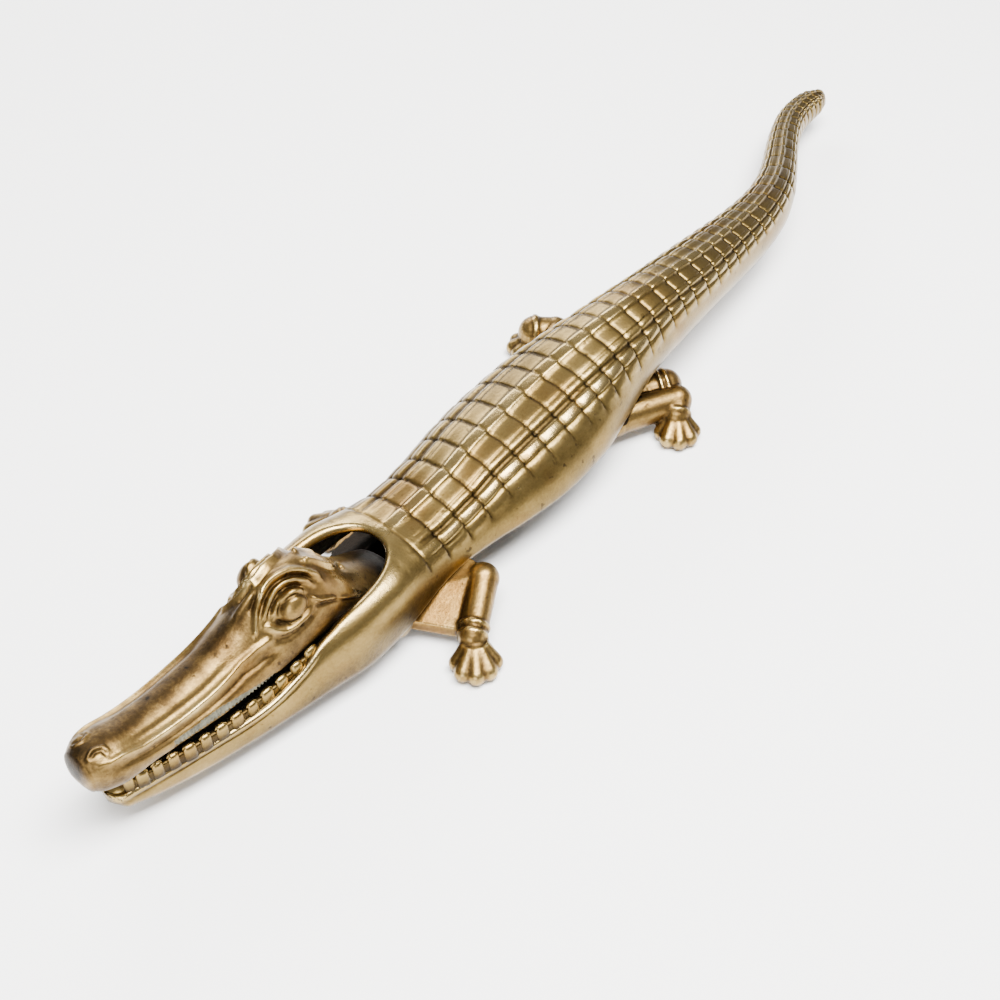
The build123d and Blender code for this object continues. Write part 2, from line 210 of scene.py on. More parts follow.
# lift in mm, then patina (minus browned, plus rubbed bright; the far side's row is painted shade): plain, and
# with the scale's crown, the grain and the fine grain
scaleForms = {
    "ridge": ((0.55, 0, 0.10, 0), (0.25, 0, 0, 0)),
    "ridgeFoot": ((0, 0, 0, 0), (-0.35, 0, 0, 0)),
    "panelRise": ((0.22, 0, 0, 0), (0, 0, 0, 0)),
    "panelHollow": ((-0.22, 0, 0, 0), (-0.18, 0, 0, 0)),
    "panelLine": ((-0.12, 0, 0, 0), (-0.35, 0, 0, 0)),
    "strip": ((0.18, 0, 0.12, 0.05), (0.15, 0, 0, 0.4)),
    "trough": ((-0.34, 0, 0, 0), (-0.5, 0, 0, 0)),
    "squares": ((0.12, 0.22, 0, 0), (0, 0.55, 0, 0)),
    "squareLine": ((-0.15, 0, 0, 0), (-0.35, 0, 0, 0)),
    "outer": ((0.10, 0.12, 0.08, 0), (0.2, 0, 0, 0.3)),
    # painted shade: the side away from the light is darkened
    "farSideShade": ((0, 0, 0, 0), (-0.25, 0, 0, 0)),
}
# lip along the jaw's rim: height or patina, distance from the rim, width
lipLift = [(0.28, 1.0, 0.55), (-0.16, 2.2, 0.4)]
lipPatina = [(0.5, 0.9, 0.5), (-0.45, 2.2, 0.45)]
bandLines = [0, 0.8, 1.4, 1.75, 2.1, 3.2, 4.6, 6.0, 7.0, 7.35, 7.65, 8.1, 8.9, 9.6, 10.0, 10.6, 11.2, 11.6,
             12.2,
             13.0, 13.8, 14.3, 14.6, 15.0, 15.8, 16.8, 17.8, 19.0, 20.2]
rimSteps = [0, 0.15, 0.5, 1.0, 1.6]
flankLines = 10         # below the bands of scales
throatLines = 12        # from the jaw's lower edge to the middle of the throat
innerLines = 14         # on the inside, between its two edges
ridgeDrift = easedCurve([(-90, 0), (-80, 0.9), (-73, 0.6), (-60, 0.5), (-50, -0.5), (-40, -1.2), (-30, -1.7),
                         (-22, -1.75), (-10, -0.65), (0, 0.15), (10, 1.0), (20, 1.2), (30, 1.4), (44, 1.9),
                         (70, 1.2), (100, 0.4), (170, 0)])
bandWidth = easedCurve([(-90, 0.84), (-80, 0.86), (-60, 0.88), (-40, 1.0), (-25, 1.05), (0, 0.92), (20, 0.73),
                        (30, 0.67), (44, 0.60), (60, 0.52), (80, 0.44), (100, 0.38), (130, 0.30),
                        (170, 0.22)])
bellyHeight = easedCurve([(-95.4, 5.6), (-93.7, 6.8), (-86, 8.6), (-78.2, 10.2), (-64.6, 11.39), (-50, 11.5),
                          (-34, 11.7), (-20, 12.4), (-6.8, 13.6), (5, 14.6), (13.5, 15.0), (16.5, 13.6),
                          (18.6, 11.9), (20.2, 10.55)])
backCurves = curvesOf(backStations)
sectionCache = {}


def backSection(x):
    key = round(x, 3)
    if key not in sectionCache:
        swing, half, top, middle, bottom, shoulder, hip = [curve(x) for curve in backCurves]
        lean = (backCurves[0](x + 0.5) - backCurves[0](x - 0.5)) if x > 15 else 0.0
        stemFrom, stemTo = shell["stem"]
        if x < stemFrom:
            part = min((stemFrom - x) / (stemFrom - stemTo), 1.0)
            half = backCurves[1](stemFrom) * sqrt(1 - part * part)
            bottom = mix(bottom, shell["stemHeight"], 1 - sqrt(1 - part * part))
        ring = (half, top, middle, bottom, shoulder, hip)
        sectionCache[key] = {"swing": swing, "lean": lean, "ring": ring, "arcs": ringArcs(ring)}
    return sectionCache[key]


def girth(x):
    # length round the half section, from the ridge to the middle of the underside
    return backSection(x)["arcs"][-1]


def backPoint(x, s, inset, shrink=1.0):
    # s is signed: plus on the near side, minus on the far side
    section = backSection(x)
    half, top, middle, bottom, shoulder, hip = section["ring"]
    w, z = ringPoint(max(half - inset, 0.0), max(top - inset, middle + 0.01), middle,
                     min(bottom + inset, middle - 0.01), shoulder, hip, shareOf(section["arcs"], abs(s)))
    if shrink < 1:
        centre = (top + bottom) / 2
        w, z = w * shrink, centre + (z - centre) * shrink
    w = -w if s >= 0 else w
    size = hypot(1, section["lean"])
    return Vector((x - w * section["lean"] / size, section["swing"] + w / size, z))


def arcWhere(x, end, before):
    # arc of the last point, from the ridge to the share named end, that comes before the wanted one
    section = backSection(x)
    low, high = 0.0, end
    for step in range(26):
        v = (low + high) / 2
        if before(ringPoint(*section["ring"], v)):
            low = v
        else:
            high = v
    step = min(int(low * ringSteps), ringSteps - 1)
    return mix(section["arcs"][step], section["arcs"][step + 1], low * ringSteps - step)


def arcOfHeight(x, z):
    return arcWhere(x, 1.0, lambda point: point[1] > z)


def arcOfWidth(x, w):
    return arcWhere(x, 0.5, lambda point: point[0] < w)


def collarHalfAt(x):
    share = (x - shell["collarBend"]) / (shell["collarApex"] - shell["collarBend"])
    power = shell["collarPower"]
    return shell["collarHalf"] * (1 - min(max(share, 0.0), 1.0) ** power) ** (1 / power)


def rimArc(x):
    # by height along the jaw, by width round the collar
    turn = ease(-113, -107, x)
    arc = arcOfHeight(x, rimHeight(x)) if turn < 1 else 0.0
    return mix(arc, arcOfWidth(x, collarHalfAt(x)), turn) if turn > 0 else arc


def wallAt(x):
    return mix(shell["wall"], shell["collarWall"], ease(-124, -112, x) * (1 - ease(-84, -78, x)))


# columns round the body: where each starts at the rim or ridge, and where it ends at the lower edge
steps = {"jaw": 64, "mouth": 14, "collar": 18, "throat": 9}
columns = []
for step in range(steps["jaw"]):
    x = mix(shell["stem"][1], shell["mouthCorner"], (step / steps["jaw"]) ** 1.25)
    columns.append((x, x))
for step in range(steps["mouth"]):
    share = step / steps["mouth"]
    columns.append((mix(shell["mouthCorner"], shell["collarBend"], share),
                    mix(shell["mouthCorner"], shell["throatFrom"], share)))
for step in range(steps["collar"] + 1):
    share = sin(radians(90 * step / steps["collar"])) ** (2 / shell["collarPower"])
    xTop = shell["collarBend"] + (shell["collarApex"] - shell["collarBend"]) * share
    if step <= steps["throat"]:
        xBottom = mix(shell["throatFrom"], shell["throatEnd"], step / steps["throat"])
    else:
        xBottom = mix(shell["throatEnd"], shell["collarFoot"], (step - steps["throat"]) / steps["throat"])
    columns.append((xTop, xBottom))
throatColumn = steps["jaw"] + steps["mouth"] + steps["throat"]
apexColumn = len(columns) - 1

# behind the collar the columns crowd at each groove between two rows of scales
bodyPlaces = [shell["collarApex"] + offset for offset in (0.15, 0.5, 1.0, 1.6, 2.3)]
for before, after in zip(rowLines[1:-1], rowLines[2:]):
    pitch = after - before
    squeeze = min(1.0, pitch / 5)
    bodyPlaces += [before + offset * squeeze for offset in (-0.75, -0.38, 0.0, 0.38, 0.75, 1.3)]
    bodyPlaces += [before + pitch * share for share in (0.36, 0.5, 0.64)]
    bodyPlaces.append(after - 1.3 * squeeze)
bodyPlaces += [rowLines[-1] + offset for offset in (-0.7, -0.35, 0, 0.35, 0.7)]
bodyPlaces += [166.6, 167.4, 168.1, 168.7, 169.2, 169.55, 169.7, shell["endPole"]]
columns += [(x, x + shell["footLean"] * (1 - ease(shell["collarApex"], shell["bodyFrom"], x)))
            for x in bodyPlaces]
cavityColumn = next(i for i, column in enumerate(columns) if column[0] >= shell["cavityEnd"])

rimLine = [(x, rimArc(x)) for x, xBottom in columns[:apexColumn]] + [(shell["collarApex"], 0.0)]
bellyPlaces = [shell["throatEnd"] + 1.2 * k for k in range(96)]
edgeLine = [(shell["throatEnd"], girth(shell["throatEnd"]))]
edgeLine += [(x, arcOfHeight(x, bellyHeight(x))) for x in bellyPlaces if x < shell["bellyEnd"]]
edgeLine.append((shell["bellyEnd"], girth(shell["bellyEnd"])))


def borderGap(x, s):
    # distance to the rim or the belly's edge, as far as it matters for rounding them
    near, reach = 9.0, shell["edgeReach"]
    for line, low, high in ((rimLine, -170, -83), (edgeLine, -100, 24)):
        if low < x < high:
            for a, b in zip(line[:-1], line[1:]):
                if (min(a[0], b[0]) - reach < x < max(a[0], b[0]) + reach
                        and min(a[1], b[1]) - reach < s < max(a[1], b[1]) + reach):
                    near = min(near, segmentGap(x, s, a, b)[0])
    return near


def edgeInset(gap, half):
    # how far the sheet has rolled into the wall at a distance from its edge
    if gap >= half:
        return 0.0
    return half * (1 - sqrt(max(1 - (1 - gap / half) ** 2, 0.0)))


def edgeArc(x):
    return min(arcOfHeight(x, bellyHeight(x)), girth(x)) if x < shell["bellyEnd"] else girth(x)


throatShare = edgeArc(shell["throatEnd"]) / girth(shell["throatEnd"])


def columnArcs(index, side, inner):
    # arc of each line of a column, from the ridge or rim to the lower edge, then to the middle in the throat
    xTop, xBottom = columns[index]
    total = girth(xBottom)
    if index < apexColumn:
        top = rimArc(xTop)
    else:
        top = side * ridgeDrift(xTop) * ease(shell["collarApex"], -78, xTop)
    end = edgeArc(xBottom)
    if index <= throatColumn:
        end = mix(0.60, throatShare, ease(0, throatColumn, index) ** 0.5) * total
    count = innerLines if inner else len(bandLines) + flankLines - len(rimSteps)
    lowEdge = [end - step for step in reversed(rimSteps)]
    arcs = [top + step for step in rimSteps]
    arcs += [mix(top + rimSteps[-1], end - rimSteps[-1], (k + 1) / (count + 1)) for k in range(count)]
    arcs += lowEdge
    if not inner:
        width = bandWidth(xTop)
        last = min(bandLines[-1] * width, 0.80 * (end - top))
        body = [top + line * last / bandLines[-1] for line in bandLines]
        body += [mix(top + last, end - rimSteps[-1], (k + 1) / (flankLines + 1)) for k in range(flankLines)]
        blend = ease(shell["collarApex"], shell["bodyFrom"], xTop)
        arcs = [mix(a, b, blend) for a, b in zip(arcs, body + lowEdge)]
    if index <= throatColumn:
        arcs += [mix(end, total, (k + 1) / throatLines) for k in range(throatLines)]
    return arcs, top, end


def rowAt(x):
    # distance to the nearest groove, its depth share, and how far along the row of scales x is
    low = spanAt(rowLines, x)
    a, b = rowLines[low], rowLines[low + 1]
    phase = min(max((x - a) / (b - a), 0.0), 1.0)
    nearest = a if x - a < b - x else b
    return abs(x - nearest), faintRows.get(nearest, 1.0), phase


def between(u, fadeIn, fadeOut):
    # 1 after the first fade and before the second; None leaves that side open
    return (ease(*fadeIn, u) if fadeIn else 1.0) * (1 - ease(*fadeOut, u) if fadeOut else 1.0)


def scaleRelief(x, s, side):
    # lift over the plain back, and the patina: minus in the recesses, plus where it is rubbed bright, and
    # painted shade on the side away from the light
    offset, strength, phase = rowAt(x)
    width = bandWidth(x)
    u = abs(s - side * ridgeDrift(x)) / width if x > -82 else abs(s) / width
    tail = ease(95, 125, x)
    low, high = [mix(a, b, tail) for a, b in zip(band["reach"], band["tailReach"])]
    reach = 1 - ease(low, high, u + 0.8 * sin(pi * phase))
    groove = bell(offset, 0, scaleRow["width"] * mix(1.0, 0.75, tail)) * strength * reach
    arch = 4 * phase * (1 - phase)      # 0 at the grooves, 1 halfway along a scale
    fade = ease(-84, -72, x)
    lift = scaleRow["pillow"] * arch * reach * fade - scaleRow["depth"] * groove
    patinaAndPaintedLight = -0.6 * groove
    onPanel = band["ridge"] < u < band["panel"]
    edge = band["outerEdge"] + 1.6 * sin(pi * phase)
    shares = {
        "ridge": 1 - ease(band["ridge"] - 0.35, band["ridge"] + 0.4, u),
        "ridgeFoot": bell(u * width, band["ridgeFoot"] * width, 0.45),
        "panelRise": ease(*band["panelRise"], u) if onPanel else 0.0,
        "panelHollow": sin(pi * (u - band["ridge"]) / (band["panel"] - band["ridge"])) if onPanel else 0.0,
        "panelLine": bell(u * width, band["panel"] * width, 0.28),
        "strip": between(u, band["stripIn"], band["stripOut"]),
        "trough": between(u, band["troughIn"], band["troughOut"]),
        "squares": between(u, band["squaresIn"], band["squaresOut"]),
        "squareLine": bell((u - 0.25 * sin(2 * pi * phase)) * width, band["squares"] * width, 0.3),
        "outer": between(u, band["outerIn"], (edge - 0.5, edge + 0.5)),
        "farSideShade": ease(1.0, 9.0, -s * side),      # painted shade on the side away from the light
    }
    grain = noise.noise(Vector((x * 1.9, s * side * 1.9, 7.0)))
    fineGrain = noise.noise(Vector((x * 3.9, s * side * 3.9, 3.0)))
    swells = (1.0, sqrt(arch), grain, fineGrain)
    for name, share in shares.items():
        lifts, marks = scaleForms[name]
        lift += fade * share * sum(a * b for a, b in zip(lifts, swells))
        patinaAndPaintedLight += fade * share * sum(a * b for a, b in zip(marks, swells))
    return lift, patinaAndPaintedLight


def addSheet(bm, patinaAndPaintedLight, inside, side, inner):
    # one half of the outer or inner sheet; both roll into the middle of the wall at the rim and the belly
    lineCount = len(rimSteps) - 1 + (len(rimSteps) + innerLines if inner else len(bandLines) + flankLines)
    lastColumn = cavityColumn if inner else len(columns) - 1
    grid = bmesh.ops.create_grid(bm, x_segments=lastColumn, y_segments=lineCount + throatLines, size=1)
    arcsOf = [columnArcs(i, side, inner) for i in range(lastColumn + 1)]
    unused = []
    for v in grid["verts"]:
        i, j = gridIndex(v, lastColumn, lineCount + throatLines)
        arcs, top, end = arcsOf[i]
        if j >= len(arcs):
            unused.append(v)
            continue
        s = arcs[j]
        xTop, xBottom = columns[i]
        share = (s - top) / (end - top)
        x = mix(xTop, xBottom, min(max(share, 0.0), 1.0))
        gap, wall = borderGap(x, s), wallAt(x)
        onRim = j == 0 and i <= apexColumn
        onBelly = j == lineCount and throatColumn <= i and xBottom < shell["bellyEnd"]
        onThroat = i == throatColumn and j >= lineCount
        inset = wall / 2 if onRim or onBelly or onThroat else edgeInset(gap, wall / 2)
        signed = s * side if s != 0 else 1e-6 * side
        shrink = 0.0 if i == lastColumn else 1.0
        if inner:
            if shrink > 0 and x > shell["cavityRound"]:
                part = (x - shell["cavityRound"]) / (shell["cavityEnd"] - shell["cavityRound"])
                shrink = sqrt(max(1 - part ** 2, 0.0))
            v.co = backPoint(x, signed, wall - inset, shrink)
            # lighter right at the edge, then painted shade: the inside darkens deeper under the back, away
            # from its edges
            v[patinaAndPaintedLight] = mix(0.2, -0.15, ease(0.2, 1.5, gap)) - 0.55 * ease(3.0, 12.0, gap)
            v[inside] = 1.0 if gap > 1.0 else 0.6
            continue
        lift, dark = 0.0, 0.0
        if x > rowLines[0] - 2:
            lift, dark = scaleRelief(x, s, side)
            keep = 1 - inset / (wall / 2)
            lift, dark = lift * keep, dark * keep
        elif x < shell["mouthCorner"] + 8:
            lip = 1 - ease(shell["mouthCorner"] - 2, shell["mouthCorner"] + 8, x)
            lift, dark = [lip * sum(height * bell(gap, place, width) for height, place, width in rows)
                          for rows in (lipLift, lipPatina)]
        # painted light: a highlight along the upper part, near the rim or ridge, and painted shade down the
        # lower flank; weaker along the body, none at the front of the jaw
        plain = 0.3 * (1 - ease(0.05, 0.4, share)) - 0.45 * ease(0.35, 0.8, share)
        v.co = backPoint(x, signed, inset - lift, shrink)
        v[patinaAndPaintedLight] = dark + plain * (1 - 0.6 * ease(-84, -60, x)) * ease(-150, -125, x)
    bmesh.ops.delete(bm, geom=unused, context="VERTS")
    if inner:
        # faces of the inside that the closing jaw has pressed flat on the middle plane
        flat = [f for f in bm.faces
                if all(v[inside] > 0.5 and abs(v.co.y) < 1e-4 and v.co.x < -150 for v in f.verts)]
        bmesh.ops.delete(bm, geom=flat, context="FACES")


def buildShell():
    bm = bmesh.new()
    patinaAndPaintedLight = bm.verts.layers.float.new("patinaAndPaintedLight")
    inside = bm.verts.layers.float.new("inside")
    for side in (1, -1):
        for inner in (False, True):
            addSheet(bm, patinaAndPaintedLight, inside, side, inner)
    bmesh.ops.remove_doubles(bm, verts=bm.verts, dist=0.012)
    bmesh.ops.dissolve_degenerate(bm, edges=bm.edges, dist=0.0005)
    bmesh.ops.recalc_face_normals(bm, faces=bm.faces)
    for face in bm.faces:
        face.material_index = 1 if all(v[inside] > 0.8 for v in face.verts) else 0
    bmesh.ops.holes_fill(bm, edges=[e for e in bm.edges if e.is_boundary])
    print("shell open edges", openEdges(bm))
    return bm


# materials

def linear(code):
    # sRGB hex to the linear colour that the shader wants
    values = [int(code[k:k + 2], 16) / 255 for k in (1, 3, 5)]
    return tuple([c / 12.92 if c <= 0.04045 else ((c + 0.055) / 1.055) ** 2.4 for c in values] + [1.0])


def addNode(tree, kind, settings={}, links={}):
    # settings are input defaults or node properties, links are the sockets that feed its inputs
    node = tree.nodes.new("ShaderNode" + kind)
    for name, value in settings.items():
        if isinstance(name, int) or name in node.inputs:
            node.inputs[name].default_value = value
        else:
            setattr(node, name, value)
    for name, source in links.items():
        tree.links.new(source, node.inputs[name])
    return node


def castBrass(name, look):
    # cast brass, filed and buffed: gold on the rubbed high places, brown oxide left in the recesses, and the
    # painted shade and highlights that the pieces carry in the same attribute
    material = bpy.data.materials.new(name)
    material.use_nodes = True
    tree = material.node_tree
    shader = tree.nodes["Principled BSDF"]
    place = addNode(tree, "TexCoord").outputs["Object"]
    marks = addNode(tree, "Attribute", {"attribute_name": "patinaAndPaintedLight"}).outputs["Fac"]
    warmth = addNode(tree, "Attribute", {"attribute_name": "warm"}).outputs["Fac"]
    noises = {}
    # look[kind] is the size of the clouds, the bloom, the grit or the pits in mm
    kinds = {"cloud": (6.0, 0.68), "blush": (4.0, 0.6), "grit": (3.0, 0.65), "pits": (2.0, 0.5)}
    for kind, (detail, roughness) in kinds.items():
        settings = {"Scale": 1000 / look[kind], "Detail": detail, "Roughness": roughness}
        noises[kind] = addNode(tree, "TexNoise", settings, {"Vector": place}).outputs["Fac"]
    total = marks
    for kind, mark in (("cloud", look["cloudMark"]), ("grit", look["gritMark"])):
        swing = addNode(tree, "Math", {"operation": "MULTIPLY_ADD", 1: mark, 2: -0.5 * mark},
                        {0: noises[kind]})
        total = addNode(tree, "Math", {"operation": "ADD"}, {0: total, 1: swing.outputs[0]}).outputs[0]
    spots = addNode(tree, "MapRange", {"From Min": 0.66, "From Max": 0.74, "To Max": look["pitMark"]},
                    {"Value": noises["pits"]})
    total = addNode(tree, "Math", {"operation": "SUBTRACT"}, {0: total, 1: spots.outputs[0]}).outputs[0]
    share = addNode(tree, "MapRange", {"From Min": -1.0, "From Max": 1.0}, {"Value": total})
    ramp = addNode(tree, "ValToRGB", {}, {"Fac": share.outputs[0]})
    stops = look["tones"]
    for element, (position, code) in zip(ramp.color_ramp.elements, (stops[0], stops[-1])):
        element.position, element.color = position, linear(code)
    for position, code in stops[1:-1]:
        ramp.color_ramp.elements.new(position).color = linear(code)
    # orange-brown bloom, in soft clouds and wherever the piece is marked warm
    drift = addNode(tree, "MapRange", {"From Min": 0.50, "From Max": 0.72, "To Max": look["blushMark"]},
                    {"Value": noises["blush"]})
    bloom = addNode(tree, "Math", {"operation": "ADD", "use_clamp": True},
                    {0: drift.outputs[0], 1: warmth})
    tinted = addNode(tree, "Mix",
                     {"data_type": "RGBA", "blend_type": "MULTIPLY", 7: linear(look["warmTone"])},
                     {0: bloom.outputs[0], 6: ramp.outputs["Color"]})
    tree.links.new(tinted.outputs[2], shader.inputs["Base Color"])
    bright, dull = look["rough"]
    gloss = addNode(tree, "MapRange", {"From Min": 0.1, "From Max": 0.9, "To Min": dull, "To Max": bright},
                    {"Value": share.outputs[0]})
    tree.links.new(gloss.outputs[0], shader.inputs["Roughness"])
    shader.inputs["Metallic"].default_value = look["metal"]
    bump = addNode(tree, "Bump", {"Strength": look["bump"], "Distance": 0.0002},
                   {"Height": noises["grit"]})
    tree.links.new(bump.outputs["Normal"], shader.inputs["Normal"])
    return material


polishedBrass = castBrass("polishedCastBrass", {
    "cloud": 11.0, "cloudMark": 0.8, "grit": 0.7, "gritMark": 0.4, "pits": 2.6, "pitMark": 0.4, "bump": 0.25,
    "blush": 26.0, "blushMark": 0.6, "warmTone": "#E6C396", "metal": 1.0, "rough": (0.20, 0.42),
    "tones": [(0.0, "#1B150B"), (0.22, "#3D3019"), (0.42, "#6B5830"), (0.62, "#8A7445"), (1.0, "#C6B07F")]})
# the same metal left to brown: darker, softer in gloss, bright only where hands and table rub it
brownedBrass = castBrass("brownedCastBrass", {
    "cloud": 8.0, "cloudMark": 1.15, "grit": 0.8, "gritMark": 0.65, "pits": 2.2, "pitMark": 0.5, "bump": 0.35,
    "blush": 18.0, "blushMark": 0.45, "warmTone": "#DDBB88", "metal": 1.0, "rough": (0.26, 0.5),
    "tones": [(0.0, "#171109"), (0.25, "#382A16"), (0.45, "#5E4A29"), (0.65, "#7F673A"), (1.0, "#C0A971")]})
# casting skin left as cast inside the shell: rough, dark and grey-green, it swallows most of the light
castSkin = castBrass("castSkin", {
    "cloud": 6.0, "cloudMark": 1.0, "grit": 0.9, "gritMark": 0.9, "pits": 2.0, "pitMark": 0.5, "bump": 0.8,
    "blush": 15.0, "blushMark": 0.2, "warmTone": "#E2B883", "metal": 0.5, "rough": (0.5, 0.75),
    "tones": [(0.0, "#24221C"), (0.35, "#47453A"), (0.6, "#6E6B58"), (0.8, "#98927A"), (1.0, "#B8AF92")]})
print("materials ready")

backShell = newPiece("backShell", buildShell(), "back_and_tail", [polishedBrass, castSkin])
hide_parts("back_lever")

# teeth of the lower jaw

teeth = {
    "perSide": 13, "width": (3.1, 4.1), "thick": 2.6, "height": 4.8, "bevel": (1.0, 1.25),
    "taper": (0.8, 0.72),
    "spread": 1.12,                     # over 1, the teeth stand closer towards the tip
    "tone": (-0.8, 0.2), "shade": (3.0, 0.8),
}
gums = {"width": 3.4, "thick": 2.08, "height": 3.2, "bevel": 0.55, "in": 0.2, "down": 1.3,
        "tone": (-0.9, -0.5)}
jawTip = {"size": (5.2, 4.0, 2.7), "place": (-159.6, 0, 10.0)}
# line of the teeth: place, distance from the middle plane, and height of their tops
toothRow = [(-161.0, 3.1, 15.2), (-157.9, 4.7, 15.7), (-154.4, 5.6, 15.9), (-147.6, 7.4, 16.0),
            (-140.0, 8.6, 16.0),
            (-132.8, 9.2, 16.0), (-123.4, 9.5, 16.7), (-118.5, 10.0, 17.9), (-114.8, 10.1, 19.0)]


def alongLine(points, share):
    # place, distance aside, height and heading at a share of the line's length in plan
    steps = [hypot(b[0] - a[0], b[1] - a[1]) for a, b in zip(points[:-1], points[1:])]
    left = share * sum(steps)
    for a, b, step in zip(points[:-1], points[1:], steps):
        if left <= step or b is points[-1]:
            t = min(left / step, 1.0)
            return [mix(low, high, t) for low, high in zip(a, b)] + [atan2(b[1] - a[1], b[0] - a[0])]
        left -= step


def addTooth(bm, patinaAndPaintedLight, side, place, look, width, bevel):
    x, y, top, heading = place
    cube = bmesh.ops.create_cube(bm, size=1)["verts"]
    bmesh.ops.scale(bm, vec=(width, look["thick"], look["height"]), verts=cube)
    for v in cube:
        if v.co.z > 0:
            v.co.x *= teeth["taper"][0]
            v.co.y *= teeth["taper"][1]
    made = bevelEdges(bm, list({e for v in cube for e in v.link_edges}), bevel, 4)
    verts = list({v for f in made["faces"] for v in f.verts})
    turn = Matrix.Rotation(side * heading, 4, "Z")
    bmesh.ops.transform(bm, matrix=Matrix.Translation((x, side * y, top - look["height"] / 2)) @ turn,
                        verts=verts)
    # painted shade: each tooth and gum is darker towards its root, where the lip shades it
    low, high = [top - down for down in teeth["shade"]]
    for v in verts:
        v[patinaAndPaintedLight] = mix(*look["tone"], ease(low, high, v.co.z))


def buildTeeth():
    bm = bmesh.new()
    patinaAndPaintedLight = bm.verts.layers.float.new("patinaAndPaintedLight")
    last = teeth["perSide"] - 1
    for side in (-1, 1):
        for count in range(teeth["perSide"]):
            share = (count / last) ** teeth["spread"]
            width = mix(*teeth["width"], share) * (1 + 0.07 * sin(count * 2.3 + side))
            bevel = mix(*teeth["bevel"], ease(0.7, 1.0, share))
            addTooth(bm, patinaAndPaintedLight, side, alongLine(toothRow, share), teeth, width, bevel)
        for count in range(last):
            x, y, top, heading = alongLine(toothRow, ((count + 0.5) / last) ** teeth["spread"])
            addTooth(bm, patinaAndPaintedLight, side, (x, y - gums["in"], top - gums["down"], heading), gums, gums["width"],
                     gums["bevel"])
    tip = bmesh.ops.create_uvsphere(bm, u_segments=32, v_segments=16, radius=1)["verts"]
    bmesh.ops.scale(bm, vec=jawTip["size"], verts=tip)
    bmesh.ops.translate(bm, vec=jawTip["place"], verts=tip)
    bmesh.ops.recalc_face_normals(bm, faces=bm.faces)
    return bm


jawTeeth = newPiece("jawTeeth", buildTeeth(), "back_and_tail", [polishedBrass])
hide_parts("back_lever")

# head and neck: place, half-width, top, widest line and underside, all in mm, and how full the shoulders are
headStations = [
    (-170.0, 1.7, 25.9, 23.7, 19.8, 0.56), (-169.0, 4.1, 27.2, 22.9, 18.1, 0.56),
    (-166.3, 6.1, 27.9, 22.2, 17.0, 0.56),
    (-161.8, 7.1, 27.6, 20.9, 16.65, 0.56), (-156.4, 7.1, 26.3, 20.0, 16.65, 0.54),
    (-147.9, 7.8, 25.7, 18.9, 16.65, 0.46),
    (-137.7, 8.8, 26.3, 18.5, 16.65, 0.43), (-128.4, 9.5, 28.9, 18.9, 16.65, 0.42),
    (-121.0, 9.7, 33.0, 19.6, 16.65, 0.42),
    (-113.9, 9.8, 36.1, 20.7, 16.65, 0.44), (-107.1, 9.7, 34.7, 20.9, 16.3, 0.48),
    (-101.0, 9.4, 29.4, 18.3, 13.2, 0.46),
    (-95.5, 9.4, 23.6, 14.0, 8.7, 0.44), (-90.95, 9.4, 19.6, 11.0, 5.6, 0.48),
    (-85.9, 9.2, 16.2, 9.6, 5.0, 0.52),
    (-80.75, 8.4, 12.5, 8.4, 5.0, 0.56),
]
headCurves = curvesOf(headStations)
head = {
    "columns": 300, "lines": 96, "hip": 0.8,
    "tip": (-170.0, -167.6), "neck": (-84.5, -80.75), "endShares": (0.06, 0.97),     # crowded at both ends
    "tipFrom": -168.6, "neckFrom": -82.6,     # rounded off from here
}
